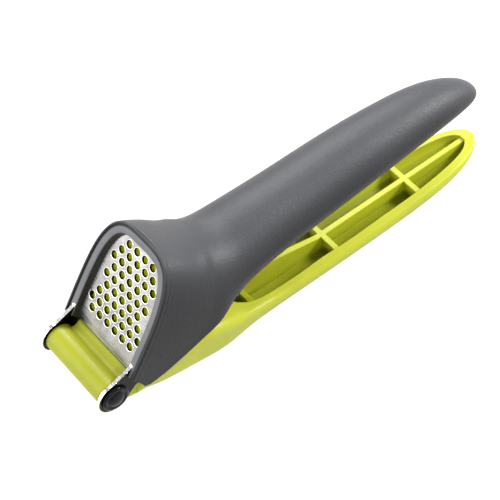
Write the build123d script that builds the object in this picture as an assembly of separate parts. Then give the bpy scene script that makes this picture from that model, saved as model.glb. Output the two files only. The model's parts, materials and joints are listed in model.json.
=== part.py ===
from build123d import *
import math
import os

# Garlic press of the nutcracker kind, lying closed on its lower handle.
# The two handles turn on one pin at the front. The upper handle is a deep hood over a steel
# sieve, and carries a soft grip. The lower handle carries the plunger, which swings up through
# the hood and squeezes the clove against the back of the sieve.
#
# All lengths are millimetres. Shapes are drawn with the pin's axis through the origin, +X
# towards the handles' tails, +Y across and +Z up. ROW_ORIGIN moves them to the part's own
# frame, whose origin is under the middle of the closed press, on the surface it lies on.

# ---- driving dimensions ----
PIN_FROM_CENTRE = 78.35     # pin axis to the middle of the press, along X
PIN_HEIGHT = 22.0           # pin axis above the surface
ROW_ORIGIN = Pos(-PIN_FROM_CENTRE, 0, PIN_HEIGHT)

LEAN = 32.7                 # the sieve leans back from upright, degrees
SIEVE_AHEAD = -4.2          # sieve's front face, measured forward of the pin along its normal
RIM_AHEAD = -2.1            # hood's front rim, measured the same way
ROW_HEIGHT = 14.7           # lowest row of holes above the pin, along the sieve
STEEL = 0.9                 # sheet thickness of the sieve
PLATE_LOW = 7.9             # lower edge of the plate above the pin, along the sieve
FLANGE_HIGH = 22.0          # top of the flanges that join the plate to its ears
EAR_OUTER = 16.0            # outer face of each ear from the middle
EAR_STEEL = 1.2             # thickness of an ear
EAR_RADIUS = 5.9            # rounded end of an ear, about the pin

PIN_RADIUS = 2.0
PIN_HEAD_RADIUS = 4.2
PIN_HEAD_DOME = 1.6
SHAFT_CLEARANCE = 0.05      # radial, between the pin and the barrel
BARREL_RADIUS = 4.9
BARREL_GAP = 0.15           # each end of the barrel to an ear's inner face

HOLE_PITCH = 4.0
HOLE_RADIUS = 1.44
HOLE_ROWS = (6, 7, 6, 5, 6, 5, 6, 5, 4)

HOOD_HALF = 18.3            # half width of the hood's front at the lowest row of holes
HOOD_RISE = 35.3            # and its height above that row
ARCH_POWER = 3.4            # the hood's arch is a superellipse of this power
SKIN = 1.1                  # soft grip's thickness round the hood
GRIP_SKIN = 1.8             # and along the handle

CHAMBER_HALF = 13.3         # half width of the chamber behind the sieve
CHAMBER_REACH = 46.3        # top of the chamber from the pin
CHAMBER_FRONT = 24.7        # the chamber's sweep about the pin, from upright, degrees
CHAMBER_BACK = 115.0
FOOT_HALF = 12.8            # half width of the plunger's face
FOOT_REACH = 44.9           # top of the plunger's face above the pin, along the sieve
FOOT_GAP = 0.5              # plunger's face to the back of the sieve when closed
FOOT_THICK = 3.0

RIM_LEVEL = -12.8           # rim of the lower handle's channel
RIB_LEVEL = -13.6           # top of its ribs
RIB_THICK = 2.0
CROSS_RIBS = (60.0, 95.0, 131.5)
CROWN = 1.8                 # how far the rim's shoulders round over


# ---- helpers ----
def on_sieve(up, ahead):
    """The (x, z) of a point a height `up` along the sieve and `ahead` of the pin's plane."""
    lean = math.radians(LEAN)
    x = up * math.sin(lean) - ahead * math.cos(lean)
    z = up * math.cos(lean) + ahead * math.sin(lean)
    return x, z


def signed_power(value, power):
    return math.copysign(abs(value) ** power, value)


def oval(x, z, lean, half, rise, drop, power_up, power_down=2.0, count=24):
    """A closed smooth outline across the press, in a plane that leans back by `lean` degrees.
    Above its centre it is a superellipse of power_up, below it one of power_down."""
    points = []
    for step in range(count):
        turn = 2 * math.pi * (step + 0.5) / count
        height = rise if turn < math.pi else drop
        power = power_up if turn < math.pi else power_down
        across = half * signed_power(math.cos(turn), 2 / power)
        along = height * signed_power(math.sin(turn), 2 / power)
        points.append((x + along * math.sin(math.radians(lean)), across,
                       z + along * math.cos(math.radians(lean))))
    return Wire([Edge.make_spline(points, periodic=True)])


def side_prism(points, half):
    """A solid with the given side view in X and Z, from -half to +half across."""
    face = Face(Wire.make_polygon([(x, 0, z) for x, z in points], close=True))
    return extrude(face, amount=half, dir=(0, 1, 0), both=True)


def cross_cylinder(x, z, radius, half):
    """A cylinder lying across the press, from -half to +half."""
    return Pos(x, 0, z) * Rot(90, 0, 0) * Cylinder(radius, 2 * half)


# ---- the hood and handle's outer form ----
# x, z of the centre, lean, half width, rise, drop, arch power, belly power
HOOD_STATIONS = (
    (16.4, 7.0, 32.7, 18.2, 34.4, 24.0, 3.6, 4.0),
    (28.0, -4.0, 24.0, 18.1, 37.0, 16.0, 3.4, 3.0),
    (43.0, 5.2, 12.5, 17.0, 22.4, 9.8, 2.6, 2.4),
)
# x, z of the centre, lean, half width, rise, drop, arch power
GRIP_STATIONS = (
    (53.5, 12.0, 4.0, 14.9, 13.4, 12.0, 2.15),
    (64.0, 13.8, 0.0, 13.8, 12.0, 11.4, 2.0),
    (82.0, 14.9, 0.0, 12.8, 11.0, 10.8, 2.0),
    (104.0, 15.9, 0.0, 12.0, 10.5, 10.0, 2.0),
    (126.0, 16.2, 0.0, 10.7, 9.3, 8.9, 2.0),
    (144.0, 15.0, 0.0, 8.8, 7.8, 7.4, 2.0),
    (154.0, 12.7, 0.0, 6.6, 6.0, 5.6, 2.0),
    (160.0, 10.4, 0.0, 4.0, 3.8, 3.4, 2.0),
    (162.6, 9.0, 0.0, 1.4, 1.3, 1.2, 2.0),
)


def upper_form(hood_inset, grip_inset):
    """The upper handle's outer form, drawn in by hood_inset at the hood, grip_inset behind."""
    wires = []
    for ahead in (3.0, RIM_AHEAD):
        x, z = on_sieve(ROW_HEIGHT, ahead)
        wires.append(oval(x, z, LEAN, HOOD_HALF - hood_inset, HOOD_RISE - hood_inset, 24.0,
                          ARCH_POWER, 4.0))
    for x, z, lean, half, rise, drop, arch, belly in HOOD_STATIONS:
        wires.append(oval(x, z, lean, half - hood_inset, rise - hood_inset, drop - hood_inset,
                          arch, belly))
    for x, z, lean, half, rise, drop, arch in GRIP_STATIONS[:-1]:
        inset = min(grip_inset, 0.6 * drop)
        wires.append(oval(x, z, lean, half - inset, rise - inset, drop - inset, arch))
    x, z, lean, half, rise, drop, arch = GRIP_STATIONS[-1]
    share = 1.0 if grip_inset == 0 else 0.5
    wires.append(oval(x - grip_inset, z, lean, half * share, rise * share, drop * share, arch))
    return Solid.make_loft(wires)


def below_hood():
    """What the hood's open mouth and lower edge leave out: all under a line from the rim's
    lower corner to the neck."""
    outline = [(-20.0, 12.0), (5.2, 7.0), (8.9, 1.5), (9.9, -1.2), (12.0, -2.0),
               (17.8, -1.2), (44.0, 6.0), (51.0, 9.0), (52.5, -30.0), (-20.0, -30.0)]
    return side_prism(outline, 40.0)


def ahead_of(plane_ahead):
    """Everything further forward than the given plane parallel to the sieve."""
    low = on_sieve(-40.0, plane_ahead)
    high = on_sieve(80.0, plane_ahead)
    return side_prism([low, high, (high[0] - 60.0, high[1]), (low[0] - 60.0, low[1])], 40.0)


def chamber():
    """The space the plunger swings through: the arch, turned about the pin."""
    rise = CHAMBER_REACH - ROW_HEIGHT
    arch = oval(0, ROW_HEIGHT, 0, CHAMBER_HALF, rise, ROW_HEIGHT - 1.0, ARCH_POWER, 12.0)
    swept = revolve(Face(arch), axis=Axis.Y, revolution_arc=CHAMBER_BACK - CHAMBER_FRONT)
    return Rot(0, CHAMBER_FRONT, 0) * swept


def arch_prism(half, rise, back, front, foot):
    """An arch-shaped slab parallel to the sieve, between two planes, from `foot` up."""
    x, z = on_sieve(ROW_HEIGHT, back)
    low = oval(x, z, LEAN, half, rise, ROW_HEIGHT, ARCH_POWER, 12.0)
    slab = extrude(Face(low), amount=front - back, dir=forward())
    x, z = on_sieve(foot, 0)
    return slab - under_line(x, z)


def forward():
    lean = math.radians(LEAN)
    return (-math.cos(lean), 0, math.sin(lean))


def under_line(x, z):
    """All below a line through (x, z) that is square to the sieve."""
    lean = math.radians(LEAN)
    step = (60 * math.cos(lean), -60 * math.sin(lean))
    corners = [(x - step[0], z - step[1]), (x + step[0], z + step[1]),
               (x + step[0] - 50, z + step[1] - 70), (x - step[0] - 50, z - step[1] - 70)]
    return side_prism(corners, 40.0)


# ---- the pieces ----
def sieve():
    """Steel sieve plate with an ear bent forward at each lower corner."""
    plate = arch_prism(14.6, 32.6, SIEVE_AHEAD - STEEL, SIEVE_AHEAD, PLATE_LOW)
    holes = []
    row_step = HOLE_PITCH * math.sqrt(3) / 2
    for row, count in enumerate(HOLE_ROWS):
        for place in range(count):
            across = (place - (count - 1) / 2) * HOLE_PITCH
            x, z = on_sieve(ROW_HEIGHT + row * row_step, SIEVE_AHEAD - STEEL / 2)
            holes.append(Pos(x, across, z) * Rot(0, LEAN - 90, 0) * Cylinder(HOLE_RADIUS, 3.0))
    plate = plate - holes
    back = SIEVE_AHEAD - STEEL
    strip = [on_sieve(PLATE_LOW, SIEVE_AHEAD), on_sieve(FLANGE_HIGH, SIEVE_AHEAD),
             on_sieve(FLANGE_HIGH, back), on_sieve(PLATE_LOW, back)]
    flanges = side_prism(strip, EAR_OUTER - 0.2)
    flanges = flanges - Pos(12, 0, 12) * Box(60, 27.0, 60)
    return plate + flanges + ears()


def ears():
    """The two ears: each a strip from the hood's wall down to a round eye about the pin."""
    strip = [(-2.3, 5.0), (7.7, 8.8), on_sieve(FLANGE_HIGH, SIEVE_AHEAD + 1.2),
             on_sieve(FLANGE_HIGH, -9.0), (17.0, 3.0), (9.0, 0.2), (3.3, -4.4)]
    ear_middle = EAR_OUTER - EAR_STEEL / 2
    slab = side_prism(strip, EAR_OUTER) + cross_cylinder(0, 0, EAR_RADIUS, EAR_OUTER)
    slab = slab - cross_cylinder(0, 0, PIN_RADIUS, EAR_OUTER + 1)
    keep = Pos(0, ear_middle, 0) * Box(200, EAR_STEEL, 200)
    keep = keep + Pos(0, -ear_middle, 0) * Box(200, EAR_STEEL, 200)
    return slab & keep


def hinge_pin():
    """Steel shaft through both ears and the barrel."""
    return cross_cylinder(0, 0, PIN_RADIUS, EAR_OUTER + 0.6)


def pin_head(side):
    """Domed head on one end of the pin, seated in a low collar against the ear."""
    collar = Cylinder(PIN_HEAD_RADIUS + 0.6, 0.5, align=(Align.CENTER, Align.CENTER, Align.MIN))
    ball_radius = (PIN_HEAD_RADIUS ** 2 + PIN_HEAD_DOME ** 2) / (2 * PIN_HEAD_DOME)
    ball = Pos(0, 0, 0.3 + PIN_HEAD_DOME - ball_radius) * Sphere(ball_radius)
    dome = ball & Pos(0, 0, 0.3) * Cylinder(PIN_HEAD_RADIUS, 3.0,
                                            align=(Align.CENTER, Align.CENTER, Align.MIN))
    head = collar + dome
    head = head - Cylinder(PIN_RADIUS, 1.2, align=(Align.CENTER, Align.CENTER, Align.CENTER))
    return Pos(0, side * EAR_OUTER, 0) * Rot(-90 * side, 0, 0) * head


def hood_core(sieve_solid):
    """Hard inner moulding: rim, chamber walls and the bar inside the grip."""
    core = upper_form(SKIN, GRIP_SKIN) - ahead_of(RIM_AHEAD) - below_hood() - chamber()
    return core - mouth() - sieve_solid


def mouth():
    """The opening in front of the sieve, which widens a little towards the rim."""
    wires = []
    for ahead, half, rise in ((SIEVE_AHEAD - 0.4, 13.6, 31.3), (RIM_AHEAD + 0.5, 14.7, 32.6)):
        x, z = on_sieve(ROW_HEIGHT, ahead)
        wires.append(oval(x, z, LEAN, half, rise, ROW_HEIGHT, ARCH_POWER, 12.0))
    return Solid.make_loft(wires)


def grip_skin(core_form):
    """Soft skin over the hood and handle."""
    shell = upper_form(0, 0) - core_form
    return shell - ahead_of(RIM_AHEAD) - below_hood()


# ---- lower handle ----
# x, level of the top, half width, depth, power of the belly
LOWER_STATIONS = (
    (8.6, -3.0, 15.2, 5.2, 5.0),
    (16.0, -2.4, 15.2, 10.2, 4.0),
    (24.0, -0.6, 15.2, 15.6, 4.0),
    (34.0, 0.4, 15.1, 19.4, 4.0),
    (45.0, -2.2, 14.5, 19.6, 3.6),
    (56.0, -9.0, 12.6, 13.0, 3.0),
    (66.0, -12.0, 11.6, 10.1, 2.8),
    (78.0, RIM_LEVEL, 11.3, 9.3, 2.8),
    (92.0, RIM_LEVEL, 11.3, 9.3, 2.8),
    (106.0, RIM_LEVEL, 11.2, 9.3, 2.8),
    (120.0, RIM_LEVEL, 11.0, 9.2, 2.8),
    (134.0, RIM_LEVEL, 10.5, 8.8, 2.8),
    (147.0, RIM_LEVEL, 9.2, 7.8, 2.6),
    (155.5, RIM_LEVEL, 7.0, 6.0, 2.4),
    (160.0, RIM_LEVEL, 4.4, 3.8, 2.2),
    (162.0, RIM_LEVEL, 1.6, 1.4, 2.0),
)
# x, half width and floor level of the hollow inside it
CHANNEL_STATIONS = (
    (49.5, 1.6, -15.0),
    (51.5, 5.6, -17.0),
    (55.5, 7.8, -18.6),
    (61.0, 8.7, -19.2),
    (70.0, 8.7, -19.6),
    (82.0, 8.6, -19.6),
    (96.0, 8.6, -19.6),
    (110.0, 8.5, -19.6),
    (124.0, 8.2, -19.5),
    (138.0, 7.4, -18.9),
    (149.0, 6.0, -17.8),
    (155.0, 4.2, -16.6),
    (158.0, 1.4, -15.4),
)


def handle_section(x, top, half, depth, power):
    """The lower handle's outline at x: a crowned top with round shoulders over a deep belly."""
    crown = min(CROWN, 0.4 * depth)
    return oval(x, top - crown, 0, half, crown, depth - crown, 3.0, power)


def trough(x, top, half, depth, power, count=12):
    """A closed outline: flat along the top, a superellipse of the given power below."""
    points = []
    for step in range(count + 1):
        turn = math.pi * (1 + step / count)
        points.append((x, half * signed_power(math.cos(turn), 2 / power),
                       top + depth * signed_power(math.sin(turn), 2 / power)))
    belly = Edge.make_spline(points)
    lid = Edge.make_line(points[-1], points[0])
    return Wire([belly, lid])


def channel():
    """The hollow of the lower handle, open at the top."""
    top = RIM_LEVEL + 12.0
    wires = [trough(x, top, half, top - floor, 4.5) for x, half, floor in CHANNEL_STATIONS]
    return Solid.make_loft(wires)


def ribs():
    """One rib down the middle of the channel, rising towards the hood, and three across it."""
    solid = side_prism([(52.0, -6.5), (66.0, -7.4), (79.0, -10.2), (93.0, RIB_LEVEL),
                        (162.0, RIB_LEVEL), (162.0, -24.0), (52.0, -24.0)], RIB_THICK / 2)
    for x in CROSS_RIBS:
        solid = solid + Pos(x, 0, RIB_LEVEL - 6.0) * Box(RIB_THICK, 24.0, 12.0)
    return solid & channel()


def saddle():
    """The front of the lower handle: barrel, valley, and the lip under the sieve's edge."""
    half = EAR_OUTER - EAR_STEEL - BARREL_GAP
    barrel = cross_cylinder(0, 0, BARREL_RADIUS, half)
    neck = side_prism([(0, 0), (0, -BARREL_RADIUS), (8.6, -7.4), (14.0, -8.0), (14.0, -3.6),
                       (8.6, -2.9), (4.0, 2.0)], half)
    behind = on_sieve(7.3, SIEVE_AHEAD - STEEL - FOOT_GAP)
    valley = Edge.make_three_point_arc((2.6, 0, 4.15), (4.3, 0, 3.0), (6.3, 0, 3.3))
    crest = Edge.make_three_point_arc((6.3, 0, 3.3), (7.5, 0, 4.0), (behind[0], 0, behind[1]))
    rest = [(behind[0], 0, behind[1]), (16.0, 0, -1.0), (16.0, 0, -6.0), (4.0, 0, -6.0),
            (0, 0, 0), (2.6, 0, 4.15)]
    under = [Edge.make_line(first, last) for first, last in zip(rest, rest[1:])]
    lip = extrude(Face(Wire([valley, crest, *under])), amount=FOOT_HALF, dir=(0, 1, 0), both=True)
    return barrel + neck + lip


def arm():
    """Three webs that carry the plunger on the lower handle."""
    back = SIEVE_AHEAD - STEEL - FOOT_GAP - FOOT_THICK
    outline = [on_sieve(7.3, back + 1.5), on_sieve(38.0, back), on_sieve(36.0, back - 4.0),
               (38.0, 8.0), (42.0, -6.0), (12.0, -6.0)]
    solid = None
    for y in (-8.5, 0, 8.5):
        web = Pos(0, y, 0) * side_prism(outline, 1.25)
        solid = web if solid is None else solid + web
    return solid


def lower_handle(plunger_solid):
    """Green moulding: barrel, wedge under the hood and the ribbed channel handle."""
    body = Solid.make_loft([handle_section(*station) for station in LOWER_STATIONS])
    land = Pos(0, 0, -PIN_HEIGHT - 5.0) * Box(400.0, 60.0, 10.0)
    body = body - channel() + ribs() + saddle() + arm() - land
    body = body - cross_cylinder(0, 0, PIN_RADIUS + SHAFT_CLEARANCE, 20.0)
    return body - plunger_solid


def plunger():
    """The foot that meets the clove: an arch-shaped plate parallel to the sieve."""
    front = SIEVE_AHEAD - STEEL - FOOT_GAP
    return arch_prism(FOOT_HALF, FOOT_REACH - ROW_HEIGHT, front - FOOT_THICK, front, 7.3)


def build():
    sieve_solid = sieve()
    core_form = upper_form(SKIN, GRIP_SKIN)
    foot = plunger()
    pieces = {
        "sieve": sieve_solid,
        "hood_core": hood_core(sieve_solid),
        "grip_skin": grip_skin(core_form),
        "plunger_foot": foot,
        "lower_handle": lower_handle(foot),
        "hinge_pin": hinge_pin(),
        "pin_head_near": pin_head(-1),
        "pin_head_far": pin_head(1),
    }
    os.makedirs("parts", exist_ok=True)
    for name, solid in pieces.items():
        export_step(ROW_ORIGIN * solid, f"parts/{name}.step")


build()
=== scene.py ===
import json
import math
import bpy
import numpy as np
from mathutils import Matrix, Vector


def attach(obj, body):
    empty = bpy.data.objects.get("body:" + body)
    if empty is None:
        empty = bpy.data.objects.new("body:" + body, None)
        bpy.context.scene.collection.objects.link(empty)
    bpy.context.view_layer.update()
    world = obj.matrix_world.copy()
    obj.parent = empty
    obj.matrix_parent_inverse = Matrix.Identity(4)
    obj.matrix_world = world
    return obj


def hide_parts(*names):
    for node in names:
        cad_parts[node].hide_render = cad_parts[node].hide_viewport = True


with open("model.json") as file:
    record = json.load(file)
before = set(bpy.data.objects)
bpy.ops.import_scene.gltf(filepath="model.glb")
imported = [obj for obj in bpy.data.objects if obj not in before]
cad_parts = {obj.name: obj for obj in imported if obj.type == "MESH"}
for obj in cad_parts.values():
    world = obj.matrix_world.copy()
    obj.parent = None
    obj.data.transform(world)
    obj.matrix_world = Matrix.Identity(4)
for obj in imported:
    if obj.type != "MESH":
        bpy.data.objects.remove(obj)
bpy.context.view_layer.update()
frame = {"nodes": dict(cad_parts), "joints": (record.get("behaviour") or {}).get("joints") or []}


# ---- sieve ----
# The pierced plate and its two ears are one piece of stainless sheet, punched from behind, so each
# hole stands in a low ring, painted brighter than the sheet as a painted highlight. It is held in
# the hood's wall on three sides.
nodes = frame["nodes"]
hinge = Vector(frame["joints"][0]["pos_m"])
lean = math.radians(32.7)  # the plate's, back from upright
plate_front = -0.0042  # its face, measured ahead of the pin's plane
first_row = 0.0147  # the lowest row of holes, up the plate from the pin
ear_inside = 0.0143  # an ear's inner face, across from the middle


class Flow:
    """A socket in a material's node tree. Sums and products of flows add Math nodes."""

    def __init__(self, tree, socket=None):
        self.tree = tree
        self.socket = socket

    def node(self, kind, settings=None, inputs=None, output=0):
        """A node of any kind: its settings first, then its sockets' values or links."""
        made = self.tree.nodes.new(kind)
        for name, value in (settings or {}).items():
            setattr(made, name, value)
        for name, value in (inputs or {}).items():
            if isinstance(value, Flow):
                self.tree.links.new(value.socket, made.inputs[name])
            else:
                made.inputs[name].default_value = value
        return Flow(self.tree, made.outputs[output])

    def math(self, operation, first, second=0.0):
        return self.node("ShaderNodeMath", {"operation": operation}, {0: first, 1: second})

    def __add__(self, other):
        return self.math("ADD", self, other)

    __radd__ = __add__

    def __mul__(self, other):
        return self.math("MULTIPLY", self, other)

    __rmul__ = __mul__

    def __sub__(self, other):
        return self.math("SUBTRACT", self, other)

    def __rsub__(self, other):
        return self.math("SUBTRACT", other, self)

    def __abs__(self):
        return self.math("ABSOLUTE", self)

    def part(self, axis):
        """The x, y or z of a vector, as axis 0, 1 or 2."""
        return self.node("ShaderNodeSeparateXYZ", None, {0: self}, axis)

    def ramp(self, low, high, start=0.0, end=1.0):
        """This value carried from the range low..high to start..end, held at both ends."""
        return self.node("ShaderNodeMapRange", {"clamp": True, "interpolation_type": "SMOOTHSTEP"},
                         {"Value": self, "From Min": low, "From Max": high,
                          "To Min": start, "To Max": end})

    def mix(self, first, second):
        """The colour `first` where this is 0 and `second` where it is 1. A Mix node's sockets
        for colours are its inputs 6 and 7 and its output 2."""
        return self.node("ShaderNodeMix", {"data_type": "RGBA"}, {0: self, 6: first, 7: second}, 2)


def start(name):
    """An empty material: returns it and a flow of its Object coordinates."""
    made = bpy.data.materials.new(name)
    made.use_nodes = True
    made.node_tree.nodes.clear()
    return made, Flow(made.node_tree).node("ShaderNodeTexCoord", output="Object")


def close(material, links, values):
    """Ends a material in one Principled shader: links vary, values are the same all over."""
    tree = material.node_tree
    shader = tree.nodes.new("ShaderNodeBsdfPrincipled")
    for name, value in values.items():
        shader.inputs[name].default_value = value
    for name, flow in links.items():
        tree.links.new(flow.socket, shader.inputs[name])
    out = tree.nodes.new("ShaderNodeOutputMaterial")
    tree.links.new(shader.outputs["BSDF"], out.inputs["Surface"])
    return material


def noise(place, scale, detail=4.0, rough=0.55, stretch=(1.0, 1.0, 1.0)):
    """Fractal noise on a place, in cells per metre, drawn out along an axis if asked."""
    drawn = place.node("ShaderNodeMapping", None, {"Vector": place, "Scale": stretch})
    return place.node("ShaderNodeTexNoise", None, {"Vector": drawn, "Scale": scale,
                                                   "Detail": detail, "Roughness": rough})


def bump(height, depth, base=None):
    """A normal from a height map, whose full range stands `depth` metres high."""
    inputs = {"Height": height, "Strength": 1.0, "Distance": depth}
    if base:
        inputs["Normal"] = base
    return height.node("ShaderNodeBump", None, inputs)


def soft_edges(place, radius):
    """A normal that rounds the sharp edges of a solid by a small radius."""
    return place.node("ShaderNodeBevel", {"samples": 8}, {"Radius": radius})


def ahead_of_pin(place):
    """How far a place lies forward of the pin, square to the sieve, in metres."""
    back = (place.part(0) - hinge.x) * math.cos(lean)
    return (place.part(2) - hinge.z) * math.sin(lean) - back


def dress(obj, material):
    """Gives an object this one material, in place of any it had."""
    obj.data.materials.clear()
    obj.data.materials.append(material)


def rings_surface(name, rings, material, body, wrap=False):
    """A closed mesh through rings of points, an array of (shapes, rings, points, 3). Each ring
    joins the next one, and the last joins the first if wrap, or else both ends are capped."""
    shapes, count, around, _ = rings.shape
    index = np.arange(shapes * count * around).reshape(shapes, count, around)
    this = index if wrap else index[:, :-1]
    after = np.roll(index, -1, axis=1) if wrap else index[:, 1:]
    quads = np.stack([this, np.roll(this, -1, 2), np.roll(after, -1, 2), after], -1).reshape(-1, 4)
    points = rings.reshape(-1, 3)
    corner = points[quads]
    turned = np.cross(corner[:, 2] - corner[:, 0], corner[:, 3] - corner[:, 1])
    inward = (turned * (corner.mean(axis=1) - points.mean(axis=0))).sum() < 0
    faces = quads.tolist()
    if not wrap:
        faces += index[:, 0, ::-1].tolist() + index[:, -1].tolist()
    if inward:
        faces = [face[::-1] for face in faces]
    mesh = bpy.data.meshes.new(name)
    mesh.from_pydata(points.tolist(), [], faces)
    mesh.shade_smooth()
    mesh.set_sharp_from_angle(angle=math.radians(50))
    made = bpy.data.objects.new(name, mesh)
    bpy.context.scene.collection.objects.link(made)
    dress(made, material)
    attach(made, body)
    return made


def sieve_steel_painted_light():
    """Satin sheet with fine belt lines. Its faces not square to the plate, the holes' cut walls
    among them, are painted near black, a painted shade. The ears' flat faces are painted near
    black with lighter streaks, a painted dark reflection, and their cut edges are painted near
    white, a painted highlight."""
    material, place = start("sieve_steel_painted_light")
    lines = noise(place, 1400.0, 2.0, 0.5, (1.0, 0.05, 1.0))
    cloud = noise(place, 160.0, 4.0)
    sheet = cloud.ramp(0.35, 0.65).mix((0.26, 0.252, 0.242, 1), (0.37, 0.362, 0.35, 1))
    facing = place.node("ShaderNodeNewGeometry", output="True Normal")
    square = abs(facing.part(2) * math.sin(lean) - facing.part(0) * math.cos(lean))
    # Faces not square to the plate, such as the holes' cut walls, get a near black colour: painted
    # shade.
    plate = square.ramp(0.3, 0.6).mix((0.03, 0.03, 0.025, 1), sheet)
    flat = abs(facing.part(1)).ramp(0.75, 0.95)
    ear = abs(place.part(1)).ramp(ear_inside, ear_inside + 0.0003)
    # The ears' flat faces are painted near black with lighter streaks: a painted dark reflection.
    streak = noise(place, 260.0, 3.0, 0.6, (1.0, 1.0, 0.4)).ramp(0.5, 0.72)
    ear_painted_reflection = streak.mix((0.012, 0.011, 0.010, 1), (0.10, 0.095, 0.085, 1))
    # The ears' cut edges are painted near white: a painted highlight.
    edge = ear.mix(plate, (0.82, 0.81, 0.80, 1))
    colour = (flat * ear).mix(edge, ear_painted_reflection)
    rough = lines.ramp(0.3, 0.7, 0.22, 0.36) - flat * ear * 0.14
    normal = bump(lines, 0.000002, soft_edges(place, 0.00015))
    return close(material, {"Base Color": colour, "Roughness": rough, "Normal": normal},
                 {"Metallic": 1.0})


def burr_steel_painted_highlight():
    """Metal of the punched rings, painted far brighter than the sheet as a painted highlight, and
    a little worn.
    """
    material, place = start("burr_steel_painted_highlight")
    wear = noise(place, 900.0, 3.0)
    # The rings are painted far brighter than the sheet they are punched from: a painted highlight.
    colour = wear.ramp(0.3, 0.7).mix((0.82, 0.81, 0.80, 1), (0.95, 0.95, 0.94, 1))
    return close(material, {"Base Color": colour, "Roughness": wear.ramp(0.3, 0.7, 0.12, 0.24)},
                 {"Metallic": 1.0})


def sieve_place(across, up, ahead):
    """Points from their distance across, up the sieve from the pin and ahead of its plane."""
    x = up * math.sin(lean) - ahead * math.cos(lean)
    z = up * math.cos(lean) + ahead * math.sin(lean)
    return np.stack([hinge.x + x, hinge.y + across, hinge.z + z], -1)


def burr_rings():
    """One thin ring round every hole: a small oval, 0.28 mm wide and 0.2 mm high, carried in a
    circle of 1.56 mm radius that lies on the plate's front. The holes fill a net of equal
    triangles, one pitch on a side, in rows of the given counts."""
    pitch = 0.004
    rise = pitch * math.sqrt(3) / 2
    counts = (6, 7, 6, 5, 6, 5, 6, 5, 4)
    centres = np.array([[(column - (count - 1) / 2) * pitch, first_row + row * rise]
                        for row, count in enumerate(counts) for column in range(count)])
    turn = np.linspace(0, 2 * math.pi, 28, endpoint=False)[None, :, None]
    section = np.linspace(0, 2 * math.pi, 7, endpoint=False)[None, None, :]
    reach = 0.00156 + 0.00014 * np.cos(section)
    across = centres[:, 0, None, None] + reach * np.cos(turn)
    up = centres[:, 1, None, None] + reach * np.sin(turn)
    ahead = plate_front + 0.0001 * np.sin(section) + 0 * across
    return sieve_place(across, up, ahead)


dress(nodes["sieve"], sieve_steel_painted_light())
rings_surface("sieve_burrs", burr_rings(), burr_steel_painted_highlight(), "upper", wrap=True)


# ---- hood core ----
# The hard nylon moulding inside the hood: its rim round the sieve and the walls of the
# chamber. It runs on inside the grip as the bar that takes the squeeze.
def hard_nylon():
    """Dark satin nylon. Its front face is painted near black, a painted shade for the groove
    between the rim's band and lip, and the walls behind it are painted near black in uneven
    patches, also painted shade.
    """
    material, place = start("hard_nylon_painted_shade")
    cloud = noise(place, 60.0, 3.0)
    grain = noise(place, 4200.0, 2.0, 0.6)
    at_front = ahead_of_pin(place).ramp(-0.0027, -0.0023)
    # The walls behind the front face are painted near black in uneven patches: painted shade.
    wall_patches = noise(place, 700.0, 4.0, 0.7).ramp(0.45, 0.75)
    wall = wall_patches.mix((0.005, 0.005, 0.004, 1), (0.022, 0.020, 0.017, 1))
    # The front face is painted near black: painted shade in the groove between the rim's band and
    # lip.
    front = cloud.mix((0.004, 0.004, 0.004, 1), (0.007, 0.007, 0.008, 1))
    rough = grain.ramp(0.3, 0.7, 0.36, 0.5)
    normal = bump(grain, 0.00002, soft_edges(place, 0.0003))
    return close(material, {"Base Color": at_front.mix(wall, front), "Roughness": rough,
                            "Normal": normal}, {})


def rim_nylon():
    """The rim's moulded face, paler where handling has burnished it."""
    material, place = start("rim_nylon")
    cloud = noise(place, 90.0, 3.0)
    grain = noise(place, 3600.0, 2.0, 0.6)
    colour = cloud.ramp(0.3, 0.7).mix((0.095, 0.098, 0.105, 1), (0.13, 0.133, 0.142, 1))
    rough = grain.ramp(0.3, 0.7, 0.38, 0.5)
    return close(material, {"Base Color": colour, "Roughness": rough,
                            "Normal": bump(grain, 0.00002)}, {})


def arch_path(inset, count=150):
    """Points and outward directions along the hood's front outline, drawn in by `inset`.
    In polar form about the lowest row of holes it is a superellipse: 18.3 mm half wide, and
    35.3 mm high with power 3.4 above, or 24 mm deep with power 4 below."""
    half_width = 0.0183
    turn = np.linspace(math.radians(-20.5), math.radians(200.5), 4 * count)
    above = np.sin(turn) >= 0
    height = np.where(above, 0.0353, 0.024)
    power = np.where(above, 3.4, 4.0)
    radius = (np.abs(np.cos(turn) / half_width) ** power
              + np.abs(np.sin(turn) / height) ** power) ** (-1 / power)
    line = np.stack([radius * np.cos(turn), first_row + radius * np.sin(turn)], -1)
    length = np.concatenate([[0], np.cumsum(np.linalg.norm(np.diff(line, axis=0), axis=1))])
    even = np.linspace(0, length[-1], count)
    line = np.stack([np.interp(even, length, line[:, 0]), np.interp(even, length, line[:, 1])], -1)
    along = np.gradient(line, axis=0)
    along /= np.linalg.norm(along, axis=1, keepdims=True)
    outward = np.stack([along[:, 1], -along[:, 0]], -1)
    return line - inset * outward, outward


def swept_arch(inset, half_width, half_height, ahead, power, around=16):
    """A bead along the arch. Its section is a superellipse of the given half width, half height
    and power, centred `inset` within the outline and `ahead` of the pin's plane."""
    line, outward = arch_path(inset)
    turn = np.linspace(0, 2 * math.pi, around, endpoint=False)
    wide = half_width * np.sign(np.cos(turn)) * np.abs(np.cos(turn)) ** (2 / power)
    high = half_height * np.sign(np.sin(turn)) * np.abs(np.sin(turn)) ** (2 / power)
    flat = line[:, None, :] + outward[:, None, :] * wide[None, :, None]
    depth = ahead + high[None, :] + 0 * flat[..., 0]
    return sieve_place(flat[..., 0], flat[..., 1], depth)[None]


dress(nodes["hood_core"], hard_nylon())
rim_front = -0.0021  # measured ahead of the pin's plane
rim = swept_arch(inset=0.0026, half_width=0.00115, half_height=0.0003, ahead=rim_front,
                 power=3.0, around=24)
rings_surface("rim_band", rim, rim_nylon(), "upper")


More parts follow.
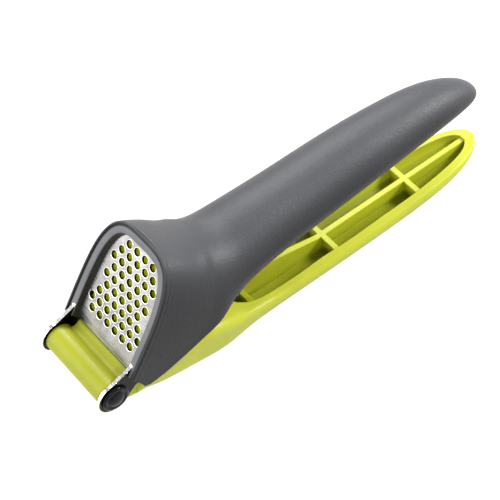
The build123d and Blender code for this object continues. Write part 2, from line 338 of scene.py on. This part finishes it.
# ---- grip skin ----
# Soft rubber moulded over the hood and the handle in one shot, with a fine spark-eroded
# texture that scatters light in a broad sheen. It ends round the rim in a small rolled lip.
def soft_rubber():
    """Matt rubber: coarse pores on a fine grain, painted light on what faces up and near black
    beneath as painted light and shade, with a little mottle, and a crease just behind the rim."""
    material, place = start("soft_rubber_painted_light")
    cloud = noise(place, 45.0, 4.0)
    pores = noise(place, 1100.0, 3.0, 0.7)
    fine = noise(place, 4200.0, 2.0, 0.6)
    grain = pores * 0.6 + fine * 0.4
    # What faces up is painted lighter and what faces down near black: painted light and shade,
    # with a little mottle mixed in.
    painted_top_light = place.node("ShaderNodeNewGeometry", output="Normal").part(2).ramp(-0.1, 1.0)
    top_light_and_mottle = painted_top_light * 0.85 + (cloud * 0.4 + grain * 0.6).ramp(0.3, 0.7) * 0.15
    crease_back = 0.0034
    crease = abs(ahead_of_pin(place) + crease_back).ramp(0.0, 0.00035)
    colour = top_light_and_mottle.mix((0.002, 0.002, 0.003, 1), (0.058, 0.059, 0.064, 1))
    rough = grain.ramp(0.35, 0.65, 0.33, 0.47)
    edge = bump(crease, 0.00012, soft_edges(place, 0.0005))
    return close(material, {"Base Color": colour, "Roughness": rough,
                            "Normal": bump(grain, 0.0002, edge)}, {"Specular IOR Level": 0.2})


rubber = soft_rubber()
dress(nodes["grip_skin"], rubber)
lip = swept_arch(inset=0.00053, half_width=0.00047, half_height=0.0005, ahead=rim_front,
                 power=2.2)
rings_surface("rim_lip", lip, rubber, "upper")


# ---- hinge pin and its heads ----
# A drawn steel shaft through both ears and the barrel. Each end is closed by a polished black
# head: a shallow dome inside a raised ring.
def black_gloss():
    """Polished black plastic, faintly clouded."""
    material, place = start("black_gloss")
    cloud = noise(place, 300.0, 3.0)
    colour = cloud.mix((0.006, 0.006, 0.007, 1), (0.012, 0.012, 0.013, 1))
    return close(material, {"Base Color": colour, "Roughness": cloud.ramp(0.3, 0.7, 0.10, 0.18)},
                 {"Specular IOR Level": 0.1})


def drawn_steel():
    """Bright shaft steel, with drawing lines along its length."""
    material, place = start("drawn_steel")
    lines = noise(place, 1800.0, 3.0, 0.6, (1.0, 0.04, 1.0))
    colour = lines.mix((0.5, 0.5, 0.49, 1), (0.7, 0.7, 0.69, 1))
    return close(material, {"Base Color": colour, "Roughness": lines.ramp(0.3, 0.7, 0.2, 0.34)},
                 {"Metallic": 1.0})


def head_rings(side, around=72):
    """A turned head: its profile carried round the pin's axis, outward from the ear. The
    profile's radii are in tenths of a millimetre and its heights in hundredths."""
    profile = np.array([[1, 190], [6, 188], [12, 180], [18, 166], [23, 148], [26, 130], [28, 112],
                        [29.5, 96], [31, 88], [33, 90], [35, 99], [38, 108], [41, 108], [44, 99],
                        [46.5, 80], [47.8, 55], [48, 25], [48, 1]]) * (0.0001, 0.00001)
    ear_outside = 0.016
    fine = np.linspace(0, len(profile) - 1, 60)
    radius = np.interp(fine, np.arange(len(profile)), profile[:, 0])
    height = np.interp(fine, np.arange(len(profile)), profile[:, 1])
    turn = np.linspace(0, 2 * math.pi, around, endpoint=False)
    x = hinge.x + radius[:, None] * np.cos(turn)
    z = hinge.z + radius[:, None] * np.sin(turn)
    y = side * (ear_outside + height[:, None]) + 0 * x
    return np.stack([x, y, z], -1)[None]


dress(nodes["hinge_pin"], drawn_steel())
black = black_gloss()
for side, name in ((-1, "near"), (1, "far")):
    head = rings_surface(f"head_{name}", head_rings(side), black, "upper")
    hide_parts(f"pin_head_{name}")


# ---- lower handle ----
# One lime green nylon moulding, satin from the mould: the barrel that turns on the pin, the
# wedge under the hood, and the handle behind them, a channel stiffened by ribs.
def green_nylon():
    """Lime nylon with soft mould marks and faint flow clouds, painted darker below 6.4 mm above
    the table, on the pocket floors and the belly, as painted shade.
    """
    material, place = start("lime_nylon")
    cloud = noise(place, 40.0, 3.0)
    peel = noise(place, 700.0, 2.0, 0.5)
    fine = noise(place, 5000.0, 2.0, 0.5)
    pocket_floor = 0.0024
    # Below 6.4 mm above the table, darkest below 2.4 mm, the colour is painted darker: painted
    # shade on the pocket floors and the belly.
    clear_of_low_shade = place.part(2).ramp(pocket_floor, pocket_floor + 0.004)
    body = cloud.ramp(0.3, 0.7).mix((0.31, 0.33, 0.014, 1), (0.36, 0.38, 0.018, 1))
    colour = clear_of_low_shade.mix((0.26, 0.28, 0.010, 1), body)
    rough = peel.ramp(0.3, 0.7, 0.40, 0.50)
    normal = bump(peel * 0.7 + fine * 0.3, 0.000012, soft_edges(place, 0.0006))
    return close(material, {"Base Color": colour, "Roughness": rough, "Normal": normal},
                 {"Specular IOR Level": 0.25})


green = green_nylon()
dress(nodes["lower_handle"], green)


# ---- plunger foot ----
# The green nylon foot that meets the clove, seen through the sieve's holes. It stands on the
# lower handle and moves with it, and use has dulled it.
def worn_green():
    """Lime nylon painted about twice as bright as the lower handle's, a painted light in the
    chamber behind the plate, dulled in soft patches.
    """
    material, place = start("worn_lime_nylon_painted_bright")
    cloud = noise(place, 300.0, 4.0, 0.6)
    # The foot's lime is painted about twice as bright as the lower handle's: painted light in the
    # chamber behind the plate.
    colour = cloud.ramp(0.35, 0.7).mix((0.68, 0.72, 0.010, 1), (0.80, 0.84, 0.014, 1))
    return close(material, {"Base Color": colour, "Roughness": cloud.ramp(0.3, 0.7, 0.3, 0.5),
                            "Normal": soft_edges(place, 0.0004)}, {})


dress(nodes["plunger_foot"], worn_green())


# ---- table, light and view ----
# A plain white table under soft boxes, seen from above the hinge's near side. The table glows
# a little, so that it stays white however the lamps stand.
def pale_floor():
    """Matt white, lit from within as well as by the lamps."""
    material, place = start("pale_floor")
    cloud = noise(place, 4.0, 2.0)
    colour = cloud.mix((0.24, 0.24, 0.24, 1), (0.26, 0.26, 0.26, 1))
    return close(material, {"Base Color": colour},
                 {"Roughness": 0.8, "Specular IOR Level": 0.0,
                  "Emission Color": (1, 1, 1, 1), "Emission Strength": 0.82})


floor_mesh = bpy.data.meshes.new("floor")
floor_mesh.from_pydata([(-3, -3, 0), (3, -3, 0), (3, 3, 0), (-3, 3, 0)], [], [(0, 1, 2, 3)])
floor = bpy.data.objects.new("floor", floor_mesh)
bpy.context.scene.collection.objects.link(floor)
dress(floor, pale_floor())


def lamp(name, towards, distance, size, power):
    """A square soft box, `distance` from the middle of the press and facing it."""
    middle = Vector((0.0, 0.0, 0.03))
    light = bpy.data.lights.new(name, "AREA")
    light.size = size
    light.energy = power
    direction = Vector(towards).normalized()
    made = bpy.data.objects.new(name, light)
    made.location = middle + distance * direction
    made.rotation_euler = direction.to_track_quat("Z", "Y").to_euler()
    bpy.context.scene.collection.objects.link(made)


lamp("top_box", (0.35, 0.60, 0.72), 0.9, 0.4, 10.0)
lamp("end_box", (0.78, -0.32, 0.53), 0.8, 0.22, 9.5)
lamp("hinge_box", (-0.80, 0.46, 0.36), 0.8, 0.6, 5.0)
lamp("glint_box", (-0.30, -0.75, 0.60), 0.8, 0.1, 2.5)

world = bpy.data.worlds.new("studio")
world.use_nodes = True
backdrop = world.node_tree.nodes["Background"]
backdrop.inputs["Color"].default_value = (1, 1, 1, 1)
backdrop.inputs["Strength"].default_value = 0.4
bpy.context.scene.world = world
bpy.context.scene.view_settings.view_transform = "Standard"

camera_data = bpy.data.cameras.new("camera")
camera_data.lens = 139.0
camera_data.clip_start = 0.01
camera = bpy.data.objects.new("camera", camera_data)
bpy.context.scene.collection.objects.link(camera)
aim = Vector((-0.0205, -0.0124, 0.0437))
back = Vector((-0.334, -0.511, 0.792)).normalized()
distance = 0.6
roll = Matrix.Rotation(math.radians(-6.3), 3, "Z")
turned = back.to_track_quat("Z", "Y").to_matrix() @ roll
camera.matrix_world = Matrix.Translation(aim + distance * back) @ turned.to_4x4()
bpy.context.scene.camera = camera
